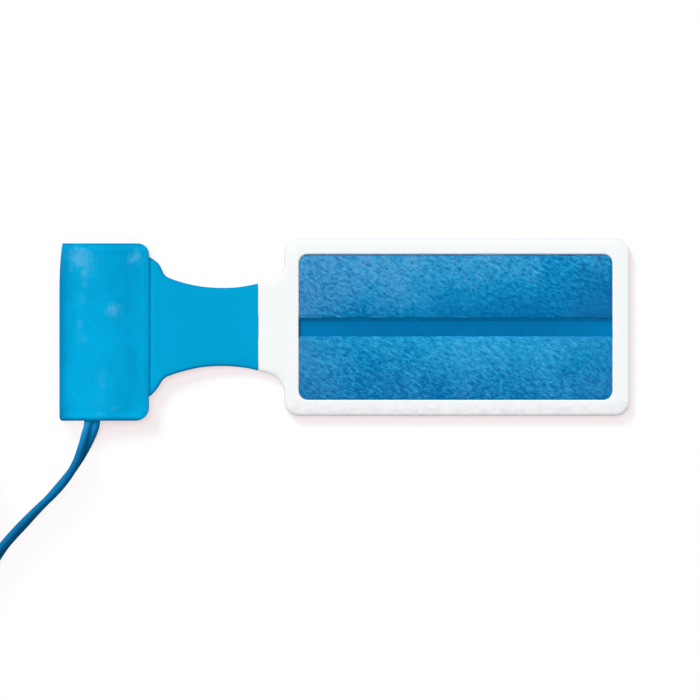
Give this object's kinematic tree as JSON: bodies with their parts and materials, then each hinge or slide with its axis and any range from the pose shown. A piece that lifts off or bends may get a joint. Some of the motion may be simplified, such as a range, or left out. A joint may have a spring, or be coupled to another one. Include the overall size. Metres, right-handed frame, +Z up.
{
  "type": "electrosurgical return electrode",
  "caption": "Corded split return electrode: white foam pad with two blue gel fields, neck, folded blue sleeve, coiled twin cord and plug.",
  "frame": {"origin": "middle of the pad's underside, on the surface that it lies on", "axes": "+X along the pad, away from the cord end; +Y across the pad; +Z up, out of the gel side"},
  "size_m": [0.4284, 0.1784, 0.0204],
  "materials": {
    "white_foam": "closed-cell foam, matte",
    "blue_foam": "closed-cell foam, matte",
    "blue_film": "satin film",
    "blue_gel": "moist, slightly bumpy",
    "foil": "bright foil",
    "clip": "tin plated",
    "copper": "bare copper strand",
    "cord_jacket": "satin",
    "plug_shell": "satin moulding",
    "contact": "nickel plated",
    "tie": "paper-covered wire"
  },
  "bodies": {
    "root": {"backing_foam": "white_foam", "border_foam": "white_foam", "carrier_film": "blue_film", "foil_upper": "foil", "foil_lower": "foil", "gel_upper": "blue_gel", "gel_lower": "blue_gel", "neck_cover": "blue_foam", "folded_sleeve": "blue_foam", "crimp_upper": "clip", "crimp_lower": "clip", "cord_leg_upper": "cord_jacket", "cord_leg_lower": "cord_jacket", "strand_upper": "copper", "strand_lower": "copper", "cord_run": "cord_jacket", "cord_coil": "cord_jacket", "cord_tail": "cord_jacket", "cord_tie": "tie", "plug_housing": "plug_shell", "plug_contact_left": "contact", "plug_contact_right": "contact"}
  },
  "joints": []
}
